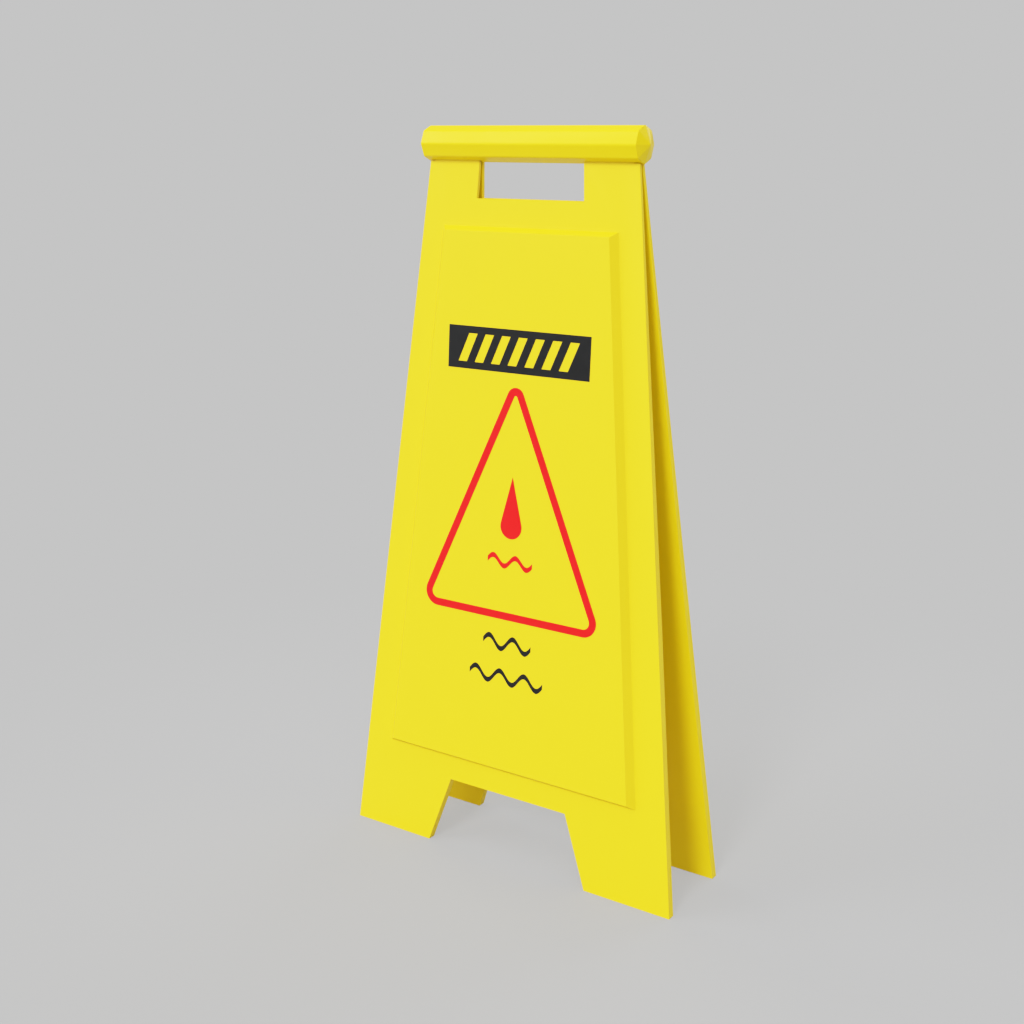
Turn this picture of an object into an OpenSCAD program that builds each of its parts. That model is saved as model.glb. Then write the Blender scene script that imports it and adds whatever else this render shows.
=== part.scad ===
// Folding wet floor sign
//
// Two moulded boards hang from one steel rod inside an octagonal carry grip.
// The boards swing apart until the edges of the slots in the grip stop them,
// and swing together until their flat inner faces almost touch.
// Both boards are the same moulding: the rear one is turned half a turn about
// the vertical, so the knuckles of one board fall between those of the other.
//
// Millimetres. +Z is up, the front board faces -Y and the width is along X.
// The origin is on the floor, in the middle of the four feet, sign standing open.

/* [Stance] */
// Height of the hinge line above the floor with the sign open
hinge_z = 602.5; // [450:0.5:900]
// Distance from the middle of the sign to the outer face of a board at the floor
foot_y = 42.3; // [35:0.1:70]
// Distance from the hinge line to the outer face of a board
hinge_in = 2.65; // [2.4:0.05:3.5]
// Gap from the hinge plane to each inner face when the sign is folded
fold_gap = 0.15; // [0.05:0.05:0.5]
// Lean that is left in each board when the sign is folded
fold_lean = 0.7; // [0.45:0.05:1.2]

/* [Boards] */
// Width of a board at the floor
board_w_floor = 322.5; // [240:0.5:400]
// Width of a board at the hinge line
board_w_hinge = 191.4; // [150:0.1:260]
// Thickness of a board at the foot, thinning towards the hinge
board_t = 7; // [5:0.1:10]
// Height of the cut-out between the legs, along the board
arch_h = 62.5; // [40:0.5:120]
// Width of the cut-out at the floor
arch_w_floor = 161.4; // [100:0.2:200]
// Width of the cut-out at its top
arch_w_top = 117.6; // [80:0.2:180]
// Width of the hand opening at its lower edge
hand_w = 100.6; // [80:0.2:110]
// Width of the hand opening under the grip
hand_w_top = 97.4; // [80:0.2:97.4]
// Lower edge of the hand opening, along the board from the floor
hand_s = 561.2; // [500:0.1:700]

/* [Raised field] */
// Width of the raised field at its upper edge
field_w_top = 164.3; // [120:0.1:200]
// Width of the raised field at its lower edge
field_w_bottom = 250; // [180:0.5:300]
// Upper edge of the raised field, along the board from the floor
field_top = 539.5; // [400:0.5:700]
// Lower edge of the raised field, along the board from the floor
field_bottom = 83.8; // [70:0.1:150]
// Height of the raised field above the board
field_rise = 5.9; // [2:0.1:8]
// Width of the sloped edge down each side of the field
field_bevel_side = 5.2; // [2:0.1:8]
// Width of the sloped edge along the top and the bottom of the field
field_bevel_end = 4; // [2:0.1:8]
// Wall left in front of the hollow behind the field
field_wall = 3; // [2:0.1:4]
// Margin between the flat of the field and the hollow behind it
hollow_margin = 6; // [3:0.5:20]
// Thickness of the ribs in the hollow
rib_t = 2.5; // [1.5:0.1:4]
// Depth of the ribs below the inner face
rib_drop = 0.6; // [0.2:0.1:3]
// Distance from the middle of the board to each upright rib
rib_x = 38; // [20:0.5:60]
// Number of cross ribs
cross_rib_n = 4; // [1:1:8]

/* [Grip] */
// Size of the octagonal grip across its corners
grip_d = 28.6; // [24:0.1:36]
// Length of the grip tube between the cap edges
grip_l = 198.4; // [170:0.2:260]
// Wall of the grip tube
grip_wall = 2.6; // [1.8:0.1:3.5]
// Height of the low pointed face of each end cap
cap_rise = 5; // [2:0.1:12]
// Depth of the plug of an end cap in the tube
plug_l = 5.8; // [4:0.1:6]
// Clearance all round the plug
plug_gap = 0.05; // [0:0.01:0.2]
// Outer radius of the ring cored out of the plug
core_r = 8.6; // [7:0.1:10]
// Plug left between the cored ring and the edge of the cap
core_floor = 1.4; // [1:0.1:3]

/* [Hinge] */
// Radius of the steel rod
rod_r = 3; // [2.5:0.05:4]
// Clearance between the rod and the bore of a knuckle
rod_run = 0.06; // [0.02:0.01:0.1]
// Length of the rod
rod_l = 194; // [150:1:240]
// Chamfer on each end of the rod
rod_chamfer = 0.6; // [0.2:0.1:1.5]
// Radius of a knuckle
knuckle_r = 6; // [5:0.1:8]
// Where the knuckles start, from the middle of the sign
tongue_x0 = 49; // [49:0.1:60]
// Where the knuckles end, from the middle of the sign
tongue_x1 = 92.4; // [80:0.1:93]
// Width of the single knuckle that sits between two others
mid_knuckle_w = 14; // [8:0.5:20]
// Gap between neighbouring knuckles
knuckle_gap = 0.6; // [0.3:0.1:1.5]
// Clearance between a board and the underside of the grip
shoulder_gap = 0.5; // [0.4:0.05:1]
// Gap between a board and the slot edge that stops it
stop_gap = 0.06; // [0.02:0.01:0.2]
// Clearance between a tongue and each end of its slot
slot_end_gap = 0.8; // [0.4:0.1:1.5]
// Thickness of a washer
washer_t = 0.6; // [0.4:0.1:1]
// Radius of a washer, and of the hub in the plug of an end cap
washer_r = 5.6; // [4.5:0.1:7]
// Gap on each side of a washer
washer_gap = 0.1; // [0.05:0.05:0.3]
// Radius of the sleeve between the left and right tongues
sleeve_r = 5; // [4:0.1:7]

/* [Graphics] */
// Thickness of the stuck-on film
film_t = 0.2; // [0.1:0.05:0.5]
// Sideways offset of the middle of the graphics
film_x = -1.5; // [-5:0.1:5]
// Width of the black band
band_w = 135.9; // [80:0.1:160]
// Lower edge of the black band, along the board
band_s = 425; // [350:0.5:500]
// Height of the black band
band_h = 34.8; // [20:0.1:60]
// Number of slanted windows in the band
stripe_n = 7; // [3:1:11]
// Width of a slanted window
stripe_w = 8.4; // [4:0.1:14]
// Distance from one window to the next
stripe_pitch = 16.2; // [10:0.1:24]
// Height of a slanted window
stripe_h = 23.2; // [10:0.1:30]
// Sideways lean of a window from its foot to its head
stripe_lean = 10; // [0:0.5:20]
// Width of the line of the triangle
tri_line = 6.5; // [3:0.1:12]
// Lower edge of the triangle, along the board
tri_s = 219.7; // [150:0.1:300]
// Height of the triangle before its top corner is rounded
tri_h = 205.8; // [120:0.1:250]
// Half width of the triangle before its corners are rounded
tri_half = 91.4; // [50:0.1:110]
// Outer radius of the two lower corners
tri_r_foot = 12.4; // [6.6:0.1:20]
// Outer radius of the top corner
tri_r_head = 8.1; // [6.6:0.1:20]
// Point of the water drop, along the board
drop_top = 340.6; // [250:0.1:400]
// Middle of the round end of the drop, along the board
drop_s = 299.4; // [250:0.1:400]
// Radius of the round end of the drop
drop_r = 10.4; // [5:0.1:20]
// Middle of the short ripple under the drop, along the board
ripple_s = 269.5; // [230:0.5:300]
// Width of the short ripple
ripple_w = 44; // [20:0.5:80]
// Height of the ripple as a share of the height of a wave
ripple_share = 0.8; // [0.2:0.1:1]
// Middle of the upper wave line, along the board
wave_s_1 = 199.2; // [150:0.1:215]
// Width of the upper wave line
wave_w_1 = 47.6; // [20:0.1:120]
// Middle of the lower wave line, along the board
wave_s_2 = 169.7; // [100:0.1:190]
// Width of the lower wave line
wave_w_2 = 73.2; // [20:0.1:140]
// Width of the line of a wave
wave_line = 4.4; // [2:0.1:8]
// Height of a wave from trough to crest, middle of the line
wave_swing = 10; // [2:0.1:14]

/* [Hidden] */
// distance along the board from the floor to the point level with the hinge line
hinge_s = sqrt(foot_y * foot_y + hinge_z * hinge_z - hinge_in * hinge_in);
// lean of each outer face from the vertical, sign open
lean = atan(foot_y / hinge_z) - atan(hinge_in / hinge_s);
// thickness of the board level with the hinge line
hinge_t = hinge_in - fold_gap;
// where the inner face starts to run in towards the hinge, along the board
taper_s = hinge_s - (board_t - hinge_t) / tan(fold_lean);

// extent of the hollow behind the field
hollow_bottom = field_bottom + field_bevel_end + hollow_margin;
hollow_top = field_top - field_bevel_end - hollow_margin;
hollow_side = field_bevel_side + hollow_margin;
hollow_y = field_wall - field_rise;
rib_lap = 2; // run of each rib into the edge of the hollow

grip_r = grip_d / 2;
bore_r = grip_r - grip_wall / cos(22.5);
cap_x = grip_l / 2;
// the slots in the grip are cut between these depths below the hinge line
slot_bottom = 18;
slot_top = 8;

mid_x0 = (tongue_x0 + tongue_x1 - mid_knuckle_w) / 2;
mid_x1 = mid_x0 + mid_knuckle_w;
knuckle_trim = 0.2;  // taken off each end of a knuckle barrel
space_gap = 0.8;     // below the knuckles of the other board
space_over = 4;      // run of the outer spaces past the tongue
fixed_fit = 0.01;    // round the rod in the sleeve and the end caps
washer_fit = 0.05;   // round the rod in a washer
rod_end_gap = 0.2;   // past the end of the rod in a cap

over = 1;            // overlap of a cut or of a joined part
cut_y = 20;          // half depth of a cut through a board
cut_x = 110;         // half length of cuts wider than the grip
cut_below = 50;      // depth of cuts below the floor
big = 1000;          // wider than the sign
round_fn = 96;

black = [0.03, 0.03, 0.03];
red = [0.85, 0.03, 0.03];

// half width of the board at a distance s up from the floor
function half_w(s) = (board_w_floor - (board_w_floor - board_w_hinge) * s / hinge_s) / 2;
// half width of the field outline at a distance s up from the floor
function field_half(s) =
    (field_w_bottom + (field_w_top - field_w_bottom) * (s - field_bottom) / (field_top - field_bottom)) / 2;
// distance from the outer face to the inner face at a distance s up from the floor
function thick(s) = min(board_t, hinge_t + (hinge_s - s) * tan(fold_lean));

// ---- helpers ----

// from the board's own frame (outer face at y = 0, z along the board) to the standing sign
module stand_front() {
    translate([0, -foot_y, 0]) rotate([-lean, 0, 0]) children();
}
module stand_rear() {
    rotate([0, 0, 180]) stand_front() children();
}
// a flat shape drawn in x and s, given depth from y0 to y1 in the board's frame
module plate(y0, y1) {
    translate([0, y1, 0]) rotate([90, 0, 0]) linear_extrude(height = y1 - y0) children();
}
// a profile drawn in y and z, run along X from x0 to x1
module run_x(x0, x1) {
    translate([x0, 0, 0]) rotate([90, 0, 90]) linear_extrude(height = x1 - x0) children();
}
// a round bar along X
module bar_x(x0, x1, r, fn = round_fn) {
    translate([x0, 0, 0]) rotate([0, 90, 0]) cylinder(h = x1 - x0, r = r, $fn = fn);
}
// an octagonal bar along X, one corner up
module oct_x(x0, x1, r) {
    bar_x(x0, x1, r, fn = 8);
}
// a symmetrical four-sided shape, from its half widths at two heights
module taper(low, half_low, high, half_high) {
    polygon([[-half_low, low], [half_low, low], [half_high, high], [-half_high, high]]);
}
// everything behind the inner face, moved outwards by shift
module behind(shift) {
    top = 700;
    back = 60;
    run_x(-big / 2, big / 2)
        polygon([[board_t - shift, -cut_below], [board_t - shift, taper_s],
                 [thick(top) - shift, top], [back, top], [back, -cut_below]]);
}

// ---- board ----

// reaches below the floor, where the feet are cut flat
module outline() {
    low = -4;
    taper(low, half_w(low), hinge_s, half_w(hinge_s));
}

// the cut-out between the legs
module arch() {
    below = 6;
    slope = (arch_w_floor - arch_w_top) / 2 / arch_h;
    taper(-below, arch_w_floor / 2 + below * slope, arch_h, arch_w_top / 2);
}

// the opening for the hand, a little wider at its foot, open at the top
module hand_opening() {
    low_x = hand_w / 2;
    top_x = hand_w_top / 2;
    top = hinge_s - grip_r;
    above = top + 60;
    polygon([[-low_x, hand_s], [low_x, hand_s], [top_x, top],
             [top_x, above], [-top_x, above], [-top_x, top]]);
}

// how far the prisms that trim the field reach in front of it, and outside its edge
trim_front = field_rise + 6;
trim_out = 12;

// prism that trims one sloped side of the field, side = 1 right, -1 left
module side_bevel(side) {
    turn = atan((field_w_bottom - field_w_top) / 2 / (field_top - field_bottom));
    end_over = 40;
    translate([side * field_half(field_bottom), 0, field_bottom])
        rotate([0, -side * turn, 0])
            translate([0, 0, -end_over])
                linear_extrude(height = field_top - field_bottom + 2 * end_over)
                    polygon([[0, 0], [-side * field_bevel_side, -field_rise],
                             [-side * field_bevel_side, -trim_front],
                             [side * trim_out, -trim_front], [side * trim_out, 0]]);
}

// prism that trims the sloped upper (end = 1) or lower (end = -1) edge of the field
module end_bevel(end) {
    translate([0, 0, end > 0 ? field_top : field_bottom])
        run_x(-big / 4, big / 4)
            polygon([[0, 0], [-field_rise, -end * field_bevel_end],
                     [-trim_front, -end * field_bevel_end],
                     [-trim_front, end * trim_out], [0, end * trim_out]]);
}

module field() {
    difference() {
        plate(-field_rise, over)
            taper(field_bottom, field_half(field_bottom), field_top, field_half(field_top));
        for (end = [-1, 1]) {
            side_bevel(end);
            end_bevel(end);
        }
    }
}

// the hollow behind the field
module hollow() {
    plate(hollow_y, 40)
        taper(hollow_bottom, field_half(hollow_bottom) - hollow_side,
              hollow_top, field_half(hollow_top) - hollow_side);
}

module ribs() {
    low = hollow_bottom - rib_lap;
    length = hollow_top + rib_lap - low;
    difference() {
        plate(hollow_y - over, 12) {
            for (x = [-rib_x, rib_x])
                translate([x - rib_t / 2, low]) square([rib_t, length]);
            for (i = [1 : cross_rib_n]) {
                s = low + length * i / (cross_rib_n + 1);
                half = field_half(s) - hollow_side + rib_lap;
                translate([-half, s - rib_t / 2]) square([2 * half, rib_t]);
            }
        }
        behind(rib_drop);
    }
}

// ranges along X on the front board: [start, end]
// that hold a knuckle: two on the right tongue, one on the left
knuckles = [[tongue_x0, mid_x0 - knuckle_gap],
            [mid_x1 + knuckle_gap, tongue_x1],
            [-mid_x1, -mid_x0]];
// left free for the knuckles of the other board
spaces = [[mid_x0 - knuckle_gap, mid_x1 + knuckle_gap],
          [-mid_x0, -tongue_x0 + space_over],
          [-tongue_x1 - space_over, -mid_x1]];

// a board in its own frame, before the cuts that follow the floor and the grip
module board_body() {
    difference() {
        union() {
            plate(0, board_t + 2) outline();
            field();
        }
        behind(0);
        hollow();
        plate(-cut_y, cut_y) arch();
        plate(-cut_y, cut_y) hand_opening();
        for (space = spaces)
            plate(-cut_y, cut_y)
                translate([space[0], hinge_s - knuckle_r - space_gap])
                    square([space[1] - space[0], 40]);
    }
    ribs();
}

// the board as it stands at the front
module board() {
    room_r = grip_r + shoulder_gap / cos(22.5);
    difference() {
        union() {
            difference() {
                stand_front() board_body();
                // room for the grip, between and outside the tongues
                translate([0, 0, hinge_z]) {
                    oct_x(-tongue_x0, tongue_x0, room_r);
                    oct_x(tongue_x1, cut_x, room_r);
                    oct_x(-cut_x, -tongue_x1, room_r);
                }
            }
            for (knuckle = knuckles)
                translate([0, 0, hinge_z])
                    bar_x(knuckle[0] + knuckle_trim, knuckle[1] - knuckle_trim, knuckle_r);
        }
        // bore for the rod
        translate([0, 0, hinge_z]) bar_x(-cut_x, cut_x, rod_r + rod_run);
        // flat of the feet
        translate([-big / 2, -big / 2, -cut_below]) cube([big, big, cut_below]);
    }
}

module front_panel() {
    color("gold") board();
}
module rear_panel() {
    color("gold") rotate([0, 0, 180]) board();
}

// ---- grip ----

// half width of a slot at height z, its edges parallel to the open boards
function slot_half(z) = foot_y - z * tan(lean) + stop_gap / cos(lean);

module grip_tube() {
    low = hinge_z - slot_bottom;
    high = hinge_z - slot_top;
    color("yellow") difference() {
        translate([0, 0, hinge_z]) oct_x(-cap_x, cap_x, grip_r);
        translate([0, 0, hinge_z]) oct_x(-cap_x - over, cap_x + over, bore_r);
        // slots for the tongues
        for (start = [tongue_x0, -tongue_x1])
            run_x(start - slot_end_gap, start + tongue_x1 - tongue_x0 + slot_end_gap)
                taper(low, slot_half(low), high, slot_half(high));
    }
}

// right-hand cap, pointing along +X
module end_cap() {
    plug_x = cap_x - plug_l;
    translate([0, 0, hinge_z]) difference() {
        union() {
            translate([cap_x, 0, 0]) rotate([0, 90, 0])
                cylinder(h = cap_rise, r1 = grip_r, r2 = 0, $fn = 8);
            oct_x(plug_x, cap_x, bore_r - plug_gap);
        }
        // blind hole that holds the end of the rod
        bar_x(plug_x - over, rod_l / 2 + rod_end_gap, rod_r + fixed_fit);
        // the ring cored out between the hub and the rim of the plug
        difference() {
            bar_x(plug_x - over, cap_x - core_floor, core_r);
            bar_x(plug_x - 2 * over, cap_x, washer_r);
        }
    }
}
module right_end_cap() {
    color("yellow") end_cap();
}
module left_end_cap() {
    color("yellow") rotate([0, 0, 180]) end_cap();
}

// ---- hinge ----

module hinge_rod() {
    end = rod_l / 2 - rod_chamfer;
    color("silver") translate([0, 0, hinge_z]) {
        bar_x(-end, end, rod_r);
        // chamfered ends
        for (side = [-1, 1])
            translate([side * end, 0, 0]) rotate([0, side * 90, 0])
                cylinder(h = rod_chamfer, r1 = rod_r, r2 = rod_r - rod_chamfer, $fn = round_fn);
    }
}

// a ring round the hinge line
module ring_x(x0, x1, r, hole_r) {
    translate([0, 0, hinge_z]) difference() {
        bar_x(x0, x1, r);
        bar_x(x0 - over, x1 + over, hole_r);
    }
}

module spacer_sleeve() {
    end = tongue_x0 - washer_t - 2 * washer_gap;
    color("dimgray") ring_x(-end, end, sleeve_r, rod_r + fixed_fit);
}

// one washer at each end of each tongue
module knuckle_washers() {
    color("white")
        for (x = [tongue_x0 - washer_t - washer_gap, tongue_x1 + washer_gap,
                  -tongue_x0 + washer_gap, -tongue_x1 - washer_t - washer_gap])
            ring_x(x, x + washer_t, washer_r, rod_r + washer_fit);
}

// ---- graphics, drawn in x and s ----

// the film lies on the flat of the raised field
module film() {
    plate(-field_rise - film_t, -field_rise) translate([film_x, 0]) children();
}

module hazard_band() {
    row_w = stripe_pitch * (stripe_n - 1) + stripe_w + stripe_lean;
    film() difference() {
        translate([-band_w / 2, band_s]) square([band_w, band_h]);
        translate([-row_w / 2, band_s + (band_h - stripe_h) / 2])
            for (i = [0 : stripe_n - 1])
                translate([i * stripe_pitch, 0])
                    polygon([[0, 0], [stripe_w, 0],
                             [stripe_w + stripe_lean, stripe_h], [stripe_lean, stripe_h]]);
    }
}

// rounded triangle standing on tri_s, its outline moved inwards by inset
module round_triangle(inset) {
    // half of the angle at the head, and of the angle at a foot
    head_a = atan(tri_half / tri_h);
    foot_a = (90 - head_a) / 2;
    // middles of the corner circles
    head_s = tri_s + tri_h - tri_r_head / sin(head_a);
    foot_x = tri_half - tri_r_foot / tan(foot_a);
    foot_s = tri_s + tri_r_foot;
    head_r = tri_r_head - inset;
    foot_r = tri_r_foot - inset;
    // where the sloped sides touch the circles
    head_touch = [head_r * cos(head_a), head_s + head_r * sin(head_a)];
    foot_touch = [foot_x + foot_r * cos(head_a), foot_s + foot_r * sin(head_a)];
    translate([0, head_s]) circle(r = head_r, $fn = round_fn);
    for (x = [-foot_x, foot_x])
        translate([x, foot_s]) circle(r = foot_r, $fn = round_fn);
    polygon([[-foot_x, foot_s - foot_r], [foot_x, foot_s - foot_r], foot_touch, head_touch,
             [-head_touch[0], head_touch[1]], [-foot_touch[0], foot_touch[1]]]);
}
module triangle_line() {
    film() difference() {
        round_triangle(0);
        round_triangle(tri_line);
    }
}

module water_drop() {
    // the straight flanks touch the round end at this angle above its middle
    flank_a = asin(drop_r / (drop_top - drop_s));
    touch_x = drop_r * cos(flank_a);
    touch_s = drop_s + drop_r * sin(flank_a);
    film() {
        translate([0, drop_s]) circle(r = drop_r, $fn = round_fn);
        polygon([[-touch_x, touch_s], [touch_x, touch_s], [0, drop_top]]);
    }
}

// a line of gentle waves, its middle at s, count whole waves in its width
module wave(s, width, count, swing) {
    steps = 24 * count;
    function edge(i, side) =
        [width * i / steps, swing / 2 * sin(360 * count * i / steps) + side * wave_line / 2];
    translate([-width / 2, s])
        polygon(concat([for (i = [0 : steps]) edge(i, 1)],
                       [for (i = [steps : -1 : 0]) edge(i, -1)]));
}
module ripple() {
    film() wave(ripple_s, ripple_w, count = 2, swing = wave_swing * ripple_share);
}
module wave_lines() {
    film() {
        wave(wave_s_1, wave_w_1, count = 2, swing = wave_swing);
        wave(wave_s_2, wave_w_2, count = 3, swing = wave_swing);
    }
}

module front_hazard_band() { color(black) stand_front() hazard_band(); }
module front_triangle() { color(red) stand_front() triangle_line(); }
module front_water_drop() { color(red) stand_front() water_drop(); }
module front_ripple() { color(red) stand_front() ripple(); }
module front_wave_lines() { color(black) stand_front() wave_lines(); }
module rear_hazard_band() { color(black) stand_rear() hazard_band(); }
module rear_triangle() { color(red) stand_rear() triangle_line(); }
module rear_water_drop() { color(red) stand_rear() water_drop(); }
module rear_ripple() { color(red) stand_rear() ripple(); }
module rear_wave_lines() { color(black) stand_rear() wave_lines(); }

front_panel();
rear_panel();
grip_tube();
left_end_cap();
right_end_cap();
hinge_rod();
spacer_sleeve();
knuckle_washers();
front_hazard_band();
front_triangle();
front_water_drop();
front_ripple();
front_wave_lines();
rear_hazard_band();
rear_triangle();
rear_water_drop();
rear_ripple();
rear_wave_lines();
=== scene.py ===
"""A folding wet-floor sign: two yellow boards that meet at a tubular grip, with a hinge rod,
and printed film on both boards.

It stands on z = 0 in metres. The grip runs along X, the front faces -Y and right is +X.
"""
import bpy
import bmesh
import math
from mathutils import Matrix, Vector


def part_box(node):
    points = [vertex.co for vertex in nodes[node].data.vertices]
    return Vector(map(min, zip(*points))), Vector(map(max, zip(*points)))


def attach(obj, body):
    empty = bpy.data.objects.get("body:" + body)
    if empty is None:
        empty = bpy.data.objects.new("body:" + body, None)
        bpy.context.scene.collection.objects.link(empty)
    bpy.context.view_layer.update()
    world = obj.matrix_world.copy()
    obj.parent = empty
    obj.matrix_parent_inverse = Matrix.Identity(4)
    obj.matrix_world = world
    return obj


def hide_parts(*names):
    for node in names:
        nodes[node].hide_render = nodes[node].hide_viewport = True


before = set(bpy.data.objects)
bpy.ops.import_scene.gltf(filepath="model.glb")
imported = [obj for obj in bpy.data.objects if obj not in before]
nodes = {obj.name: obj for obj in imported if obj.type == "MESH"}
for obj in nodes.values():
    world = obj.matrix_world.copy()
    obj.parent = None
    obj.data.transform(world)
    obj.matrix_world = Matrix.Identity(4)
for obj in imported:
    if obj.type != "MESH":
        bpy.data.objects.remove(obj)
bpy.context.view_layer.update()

scene = bpy.context.scene

MM = 0.001

# the grip tube, from its solid
grip_lo, grip_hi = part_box("grip_tube")
GRIP_Z = (grip_lo.z + grip_hi.z) / 2
GRIP_RADIUS = (grip_hi.z - grip_lo.z) / 2
GRIP_BOTTOM = GRIP_Z - GRIP_RADIUS
GRIP_END_X = grip_hi.x

# edge rounding
BOARD_ROUNDING = 0.7 * MM
TUBE_ROUNDING = 1.2 * MM
CAP_ROUNDING = 0.5 * MM
WELD_SOLID = 0.002 * MM     # vertices of a solid closer than this are one
WELD_ROUNDED = 0.001 * MM   # the same after rounding
FLAT_ANGLE = 0.25           # degrees: faces closer than this become one flat face
MIN_ANGLE = 3.0             # degrees: flatter edges are never rounded
BOARD_MIN_ANGLE = 8.0       # the same on the boards
SHARP_ANGLE = 28.0          # degrees: unrounded edges above this stay sharp
BOARD_UPPER_Z = 0.3         # only board edges wholly above this can be hidden in the grip
HIDDEN_DEPTH = 4 * MM       # how far an edge reaches up past the grip's bottom to be hidden
TUBE_SKIN = 0.3 * MM        # depth below the grip radius that still counts as outside
TUBE_LONG_EDGE = 0.12       # only tube edges longer than this are rounded
CAP_CLEARANCE = 0.01 * MM   # how far past the tube's end a cap edge has to be

# ---------------------------------------------------------------- exposure

# Shadows stay linear. Above SHOULDER the curve rolls off towards SHOULDER + ROLL.
# Scene light is scaled by UNIT, so that the whole range fits the curve.
SHOULDER, ROLL = 0.4, 0.6
UNIT = 0.5


def film(light):
    if light <= SHOULDER:
        return light
    return SHOULDER + ROLL * (1.0 - math.exp(-(light - SHOULDER) / ROLL))


def unfilm(shown):
    """The inverse of film, for values above the shoulder."""
    return SHOULDER - ROLL * math.log(1.0 - (shown - SHOULDER) / ROLL)


BACKDROP_SHOWN = 0.558                        # the studio's even grey after the film curve
PAPER = (UNIT * unfilm(BACKDROP_SHOWN),) * 3  # the same grey as scene light
AMBIENT = UNIT * 0.31                         # strength of the world's even light

# ---------------------------------------------------------------- node trees


class Graph:
    """Builds a node tree. Input names are keywords, with _ for each space.

    A value is a number, a vector, an RGB colour or another node's output."""

    def __init__(self, tree):
        self.tree = tree
        tree.nodes.clear()

    def feed(self, socket, value):
        if isinstance(value, bpy.types.NodeSocket):
            self.tree.links.new(value, socket)
        elif socket.type == "RGBA":
            socket.default_value = (*value, 1.0)
        else:
            socket.default_value = value

    def set(self, node, **inputs):
        for name, value in inputs.items():
            self.feed(node.inputs[name.replace("_", " ")], value)

    def add(self, kind, **inputs):
        node = self.tree.nodes.new(kind)
        self.set(node, **inputs)
        return node

    def coords(self, space):
        return self.add("ShaderNodeTexCoord").outputs[space]

    def math(self, operation, first, second=None):
        node = self.add("ShaderNodeMath")
        node.operation = operation
        self.feed(node.inputs[0], first)
        if second is not None:
            self.feed(node.inputs[1], second)
        return node.outputs[0]

    def noise(self, coords, scale, detail, rough):
        node = self.add("ShaderNodeTexNoise", Vector=coords, Scale=scale, Detail=detail,
                        Roughness=rough)
        return node.outputs["Fac"]

    def spread(self, value, low, high, start=0.0, end=1.0, shape="LINEAR"):
        """Maps start..end to low..high, held at both ends."""
        node = self.add("ShaderNodeMapRange", Value=value, From_Min=start, From_Max=end,
                        To_Min=low, To_Max=high)
        node.clamp = True
        node.interpolation_type = shape
        return node.outputs["Result"]

    def mix(self, factor, first, second):
        """Mixes two colours. The colour sockets of a mix node are 6 and 7."""
        node = self.add("ShaderNodeMix")
        node.data_type = "RGBA"
        for index, value in ((0, factor), (6, first), (7, second)):
            self.feed(node.inputs[index], value)
        return node.outputs[2]

    def mix_shaders(self, factor, first, second):
        node = self.add("ShaderNodeMixShader")
        for index, value in enumerate((factor, first, second)):
            self.feed(node.inputs[index], value)
        return node.outputs[0]

    def camera_split(self, lit, seen):
        """Shows seen to the camera, and lit to all other rays."""
        is_camera = self.add("ShaderNodeLightPath").outputs["Is Camera Ray"]
        return self.mix_shaders(is_camera, lit, seen)

    def bump(self, bsdf, height, strength, distance):
        node = self.add("ShaderNodeBump", Strength=strength, Distance=distance, Height=height)
        self.set(bsdf, Normal=node.outputs["Normal"])


# ---------------------------------------------------------------- materials


def new_material(name):
    material = bpy.data.materials.new(name)
    material.use_nodes = True
    g = Graph(material.node_tree)
    out = g.add("ShaderNodeOutputMaterial")
    bsdf = g.add("ShaderNodeBsdfPrincipled")
    g.set(out, Surface=bsdf.outputs["BSDF"])
    return material, g, bsdf, g.coords("Object")


def moulded_plastic(name, base, deep, rough, grain=0.05, specular=0.38):
    """Satin plastic: faint colour flow from base to deep, mottled sheen, fine grain."""
    material, g, bsdf, coords = new_material(name)
    flow = g.noise(coords, scale=9.0, detail=3.0, rough=0.55)
    cloud = g.noise(coords, scale=46.0, detail=4.0, rough=0.6)
    speck = g.noise(coords, scale=900.0, detail=2.0, rough=0.6)
    tone = g.math("ADD", g.math("MULTIPLY", flow, 0.6), g.math("MULTIPLY", cloud, 0.4))
    colour = g.mix(g.spread(tone, low=0.0, high=1.0, start=0.36, end=0.64), base, deep)
    # specks a tenth darker than the base
    colour = g.mix(g.spread(speck, low=0.0, high=0.10, start=0.62, end=0.85),
                   colour, tuple(c * 0.90 for c in base))
    sheen = g.math("ADD",
                   g.spread(cloud, low=rough - 0.035, high=rough + 0.035, start=0.3, end=0.7),
                   g.spread(speck, low=-0.02, high=0.03, start=0.3, end=0.7))
    g.set(bsdf, Base_Color=colour, Roughness=sheen, IOR=1.46, Specular_IOR_Level=specular)
    fine = g.noise(coords, scale=1500.0, detail=2.0, rough=0.55)
    wide = g.noise(coords, scale=24.0, detail=2.0, rough=0.5)
    height = g.math("ADD", fine, g.math("MULTIPLY", wide, 1.6))
    g.bump(bsdf, height, strength=grain, distance=0.2 * MM)
    return material


def printed_film(name, base, rough):
    """Printed vinyl film: even ink, a trace of orange peel, slightly uneven sheen."""
    material, g, bsdf, coords = new_material(name)
    ink = g.noise(coords, scale=120.0, detail=3.0, rough=0.55)
    tiny = g.noise(coords, scale=2200.0, detail=1.0, rough=0.5)
    lighter = tuple(min(1.0, c * 1.06 + 0.0012) for c in base)
    colour = g.mix(g.spread(ink, low=0.0, high=1.0, start=0.35, end=0.65), base, lighter)
    sheen = g.math("ADD",
                   g.spread(ink, low=rough - 0.03, high=rough + 0.04, start=0.3, end=0.7),
                   g.spread(tiny, low=-0.015, high=0.015, start=0.3, end=0.7))
    g.set(bsdf, Base_Color=colour, Roughness=sheen, IOR=1.45, Specular_IOR_Level=0.30)
    height = g.math("ADD", tiny, g.math("MULTIPLY", ink, 0.5))
    g.bump(bsdf, height, strength=0.04, distance=0.1 * MM)
    return material


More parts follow.
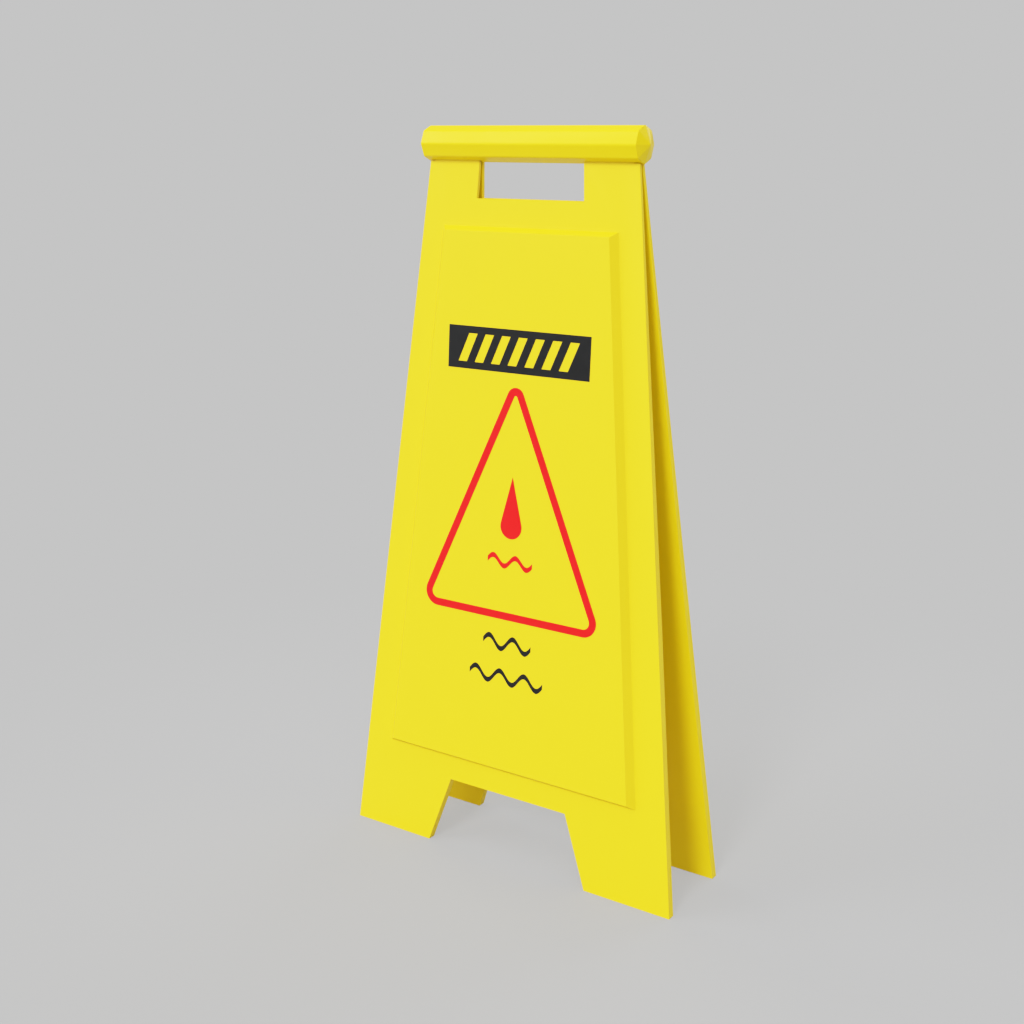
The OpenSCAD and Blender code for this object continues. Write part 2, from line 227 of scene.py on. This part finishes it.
def drawn_steel(name):
    """Zinc-plated drawn rod: fine lines along X, patchy plating."""
    material, g, bsdf, coords = new_material(name)
    stretched = g.add("ShaderNodeMapping", Vector=coords, Scale=(0.03, 1.0, 1.0))
    lines = g.noise(stretched.outputs["Vector"], scale=2600.0, detail=3.0, rough=0.6)
    patch = g.noise(coords, scale=70.0, detail=3.0, rough=0.5)
    colour = g.mix(g.spread(patch, low=0.0, high=1.0, start=0.35, end=0.65),
                   (0.56, 0.57, 0.59), (0.64, 0.64, 0.63))
    sheen = g.spread(lines, low=0.24, high=0.40, start=0.3, end=0.7)
    g.set(bsdf, Base_Color=colour, Metallic=1.0, Roughness=sheen)
    g.bump(bsdf, lines, strength=0.15, distance=0.05 * MM)
    return material


YELLOW = moulded_plastic("yellow_board_plastic", base=(0.862, 0.632, 0.0018),
                         deep=(0.852, 0.621, 0.0014), rough=0.50)
GRIP = moulded_plastic("yellow_grip_plastic", base=(0.866, 0.638, 0.0030),
                       deep=(0.858, 0.628, 0.0024), rough=0.38, grain=0.03, specular=0.20)
BLACK = printed_film("black_film_print", base=(0.0050, 0.0052, 0.0056), rough=0.46)
RED = printed_film("red_film_print", base=(0.862, 0.0040, 0.0040), rough=0.42)
GREY = moulded_plastic("grey_sleeve_plastic", base=(0.055, 0.058, 0.062),
                       deep=(0.045, 0.048, 0.052), rough=0.5)
WHITE = moulded_plastic("white_washer_plastic", base=(0.72, 0.72, 0.68),
                        deep=(0.66, 0.66, 0.62), rough=0.45)
STEEL = drawn_steel("hinge_rod_steel")

# ---------------------------------------------------------------- pieces


def paint(obj, material):
    obj.data.materials.clear()
    obj.data.materials.append(material)
    for face in obj.data.polygons:
        face.material_index = 0


def clean_mesh(node):
    """The node's solid as one welded mesh with its flat faces whole."""
    bm = bmesh.new()
    bm.from_mesh(nodes[node].data)
    bmesh.ops.remove_doubles(bm, verts=bm.verts, dist=WELD_SOLID)
    bmesh.ops.dissolve_limit(bm, angle_limit=math.radians(FLAT_ANGLE),
                             use_dissolve_boundaries=False, verts=bm.verts, edges=bm.edges)
    bm.normal_update()
    return bm


def add_rounding(obj, width, segments):
    bevel = obj.modifiers.new("rounding", "BEVEL")
    bevel.limit_method = "WEIGHT"
    bevel.width = width
    bevel.segments = segments
    bevel.profile = 0.5
    bevel.use_clamp_overlap = True
    bevel.miter_outer = "MITER_SHARP"
    weld = obj.modifiers.new("tidy", "WELD")
    weld.merge_threshold = WELD_ROUNDED
    shading = obj.modifiers.new("even_shading", "WEIGHTED_NORMAL")
    shading.mode = "FACE_AREA"
    shading.weight = 50
    shading.keep_sharp = True


def rounded(node, name, material, body, is_rounded, width, segments=3):
    """Replaces a node with a copy whose edges are rounded where is_rounded(edge, degrees)."""
    bm = clean_mesh(node)
    layers = bm.edges.layers.float
    weights = layers.get("bevel_weight_edge") or layers.new("bevel_weight_edge")
    for edge in bm.edges:
        angle = math.degrees(edge.calc_face_angle(0.0))
        chosen = angle > MIN_ANGLE and is_rounded(edge, angle)
        edge[weights] = 1.0 if chosen else 0.0
        edge.smooth = chosen or angle <= SHARP_ANGLE
    for face in bm.faces:
        face.smooth = True
    mesh = bpy.data.meshes.new(name)
    bm.to_mesh(mesh)
    bm.free()
    obj = bpy.data.objects.new(name, mesh)
    scene.collection.objects.link(obj)
    paint(obj, material)
    add_rounding(obj, width, segments)
    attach(obj, body)
    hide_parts(node)


def board_edge(edge, angle):
    """Every edge but the upper ones that end hidden inside the grip."""
    heights = [vert.co.z for vert in edge.verts]
    hidden = min(heights) > BOARD_UPPER_Z and max(heights) > GRIP_BOTTOM + HIDDEN_DEPTH
    return angle > BOARD_MIN_ANGLE and not hidden


def tube_edge(edge, angle):
    """The long edges on the tube's outside that run along X."""
    span = edge.verts[0].co - edge.verts[1].co
    along = abs(span.x) > 0.9 * span.length
    radius = max(math.hypot(vert.co.y, vert.co.z - GRIP_Z) for vert in edge.verts)
    return along and radius > GRIP_RADIUS - TUBE_SKIN and span.length > TUBE_LONG_EDGE


def cap_edge(edge, angle):
    """The edges that stand clear of the tube's ends."""
    return min(abs(vert.co.x) for vert in edge.verts) > GRIP_END_X - CAP_CLEARANCE


for side in ("front", "rear"):
    board = side + "_board"
    rounded(side + "_panel", board, YELLOW, board, board_edge, BOARD_ROUNDING)
rounded("grip_tube", "grip_tube_rounded", GRIP, "grip", tube_edge,
        TUBE_ROUNDING, segments=4)
for side in ("left", "right"):
    rounded(side + "_end_cap", side + "_cap_rounded", GRIP, "grip", cap_edge,
            CAP_ROUNDING)

for node, material in (("hinge_rod", STEEL), ("spacer_sleeve", GREY),
                       ("knuckle_washers", WHITE)):
    paint(nodes[node], material)
for node, material in (("hazard_band", BLACK), ("triangle", RED), ("water_drop", RED),
                       ("ripple", RED), ("wave_lines", BLACK)):
    for side in ("front_", "rear_"):
        paint(nodes[side + node], material)

# ---------------------------------------------------------------- floor

FLOOR_RADII = (0.0001, 0.4, 1.2, 4.0, 12.0, 40.0, 120.0)
FLOOR_SIDES = 64
FLOOR_Z = -0.2 * MM   # just below the sign's feet
SHADOW_NEAR = 0.22    # distance from the centre where the paper's shadow starts to fade
SHADOW_FAR = 0.85     # where only the even backdrop is left
SHADOW_SHARE = 0.30   # share of lit paper near the sign


def floor_mesh():
    bm = bmesh.new()
    turns = [2 * math.pi * i / FLOOR_SIDES for i in range(FLOOR_SIDES)]
    rings = [[bm.verts.new((r * math.cos(turn), r * math.sin(turn), FLOOR_Z)) for turn in turns]
             for r in FLOOR_RADII]
    for inner, outer in zip(rings, rings[1:]):
        for i in range(FLOOR_SIDES):
            j = (i + 1) % FLOOR_SIDES
            bm.faces.new((inner[i], outer[i], outer[j], inner[j]))
    bm.faces.new(rings[0])
    mesh = bpy.data.meshes.new("studio_floor")
    bm.to_mesh(mesh)
    bm.free()
    return mesh


def floor_paper():
    """Paper that shows a faint shadow near the sign and fades to the even backdrop."""
    material = bpy.data.materials.new("studio_floor_paper")
    material.use_nodes = True
    g = Graph(material.node_tree)
    out = g.add("ShaderNodeOutputMaterial")
    bounce = g.add("ShaderNodeBsdfDiffuse", Color=(0.45, 0.45, 0.45))
    lit_paper = g.add("ShaderNodeBsdfDiffuse", Color=(0.405, 0.405, 0.405))
    even = g.add("ShaderNodeEmission", Color=PAPER, Strength=1.0)
    place = g.add("ShaderNodeSeparateXYZ", Vector=g.coords("Object")).outputs
    squares = [g.math("MULTIPLY", place[axis], place[axis]) for axis in "XY"]
    distance = g.math("SQRT", g.math("ADD", *squares))
    share = g.spread(distance, low=SHADOW_SHARE, high=0.0, start=SHADOW_NEAR, end=SHADOW_FAR,
                     shape="SMOOTHSTEP")
    seen = g.mix_shaders(share, even.outputs[0], lit_paper.outputs[0])
    g.set(out, Surface=g.camera_split(bounce.outputs[0], seen))
    return material


floor = bpy.data.objects.new("studio_floor", floor_mesh())
scene.collection.objects.link(floor)
floor.data.materials.append(floor_paper())

# ---------------------------------------------------------------- world and lights


def build_world():
    world = bpy.data.worlds.new("studio")
    scene.world = world
    world.use_nodes = True
    g = Graph(world.node_tree)
    out = g.add("ShaderNodeOutputWorld")
    seen = g.add("ShaderNodeBackground", Color=PAPER)
    direction = g.add("ShaderNodeSeparateXYZ", Vector=g.coords("Generated"))
    # strength from the ground (low) to straight up (high)
    strength = g.spread(direction.outputs["Z"], low=AMBIENT, high=AMBIENT)
    soft = g.add("ShaderNodeBackground", Color=(1, 1, 1), Strength=strength)
    g.set(out, Surface=g.camera_split(soft.outputs[0], seen.outputs[0]))


def place_around(obj, azimuth, elevation):
    """Turns a light or camera to look from this side, in degrees.

    Azimuth goes from the front towards the right, elevation up from the floor."""
    a, e = math.radians(azimuth), math.radians(elevation)
    source = Vector((math.sin(a) * math.cos(e), -math.cos(a) * math.cos(e), math.sin(e)))
    obj.rotation_mode = "QUATERNION"
    obj.rotation_quaternion = source.to_track_quat("Z", "Y")


# name, azimuth, elevation, strength, angular size (degrees), leaves a highlight
LIGHTS = (
    ("key", 6, 37, 1.55, 15, True),
    ("key_front", 8, 30, 0.50, 16, True),
    ("key_right", 45, 30, 0.60, 24, True),
    ("top", 0, 90, 1.15, 50, True),
    ("left_side", -54, 26, 1.36, 40, True),
    ("left_glint", -43, 35, 0.30, 24, True),
    ("right_back", 110, 16, 0.28, 24, False),
    ("left_back", -104, 16, 0.95, 24, False),
    ("back", 172, 28, 1.00, 40, True),
)

build_world()
for name, azimuth, elevation, strength, size, highlight in LIGHTS:
    sun = bpy.data.lights.new(name, "SUN")
    sun.energy = UNIT * strength
    sun.angle = math.radians(size)
    light = bpy.data.objects.new(name, sun)
    light.visible_glossy = highlight
    scene.collection.objects.link(light)
    place_around(light, azimuth, elevation)

# ---------------------------------------------------------------- camera and view

lens = bpy.data.cameras.new("camera")
lens.lens = 50.0
lens.sensor_width = 36.0
lens.sensor_fit = "HORIZONTAL"
lens.clip_start = 0.05
lens.clip_end = 300
camera = bpy.data.objects.new("camera", lens)
scene.collection.objects.link(camera)
camera.location = (0.6274, -0.9570, 0.6131)
place_around(camera, azimuth=34.07, elevation=15.04)
scene.camera = camera

view = scene.view_settings
view.view_transform = "Standard"
view.look = "None"
view.exposure = 0.0
view.gamma = 1.0
view.use_curve_mapping = True

# the film curve between black and full light, sampled at these scene values
CURVE_STEPS = (0.12, 0.21, 0.25, 0.28, 0.32, 0.37, 0.43, 0.50, 0.58, 0.68, 0.80)
mapping = view.curve_mapping
mapping.clip_max_x = 1.0
points = mapping.curves[3].points
points[0].location = (0.0, 0.0)
points[1].location = (1.0, film(1.0 / UNIT))
for x in CURVE_STEPS:
    points.new(x, film(x / UNIT))
mapping.update()
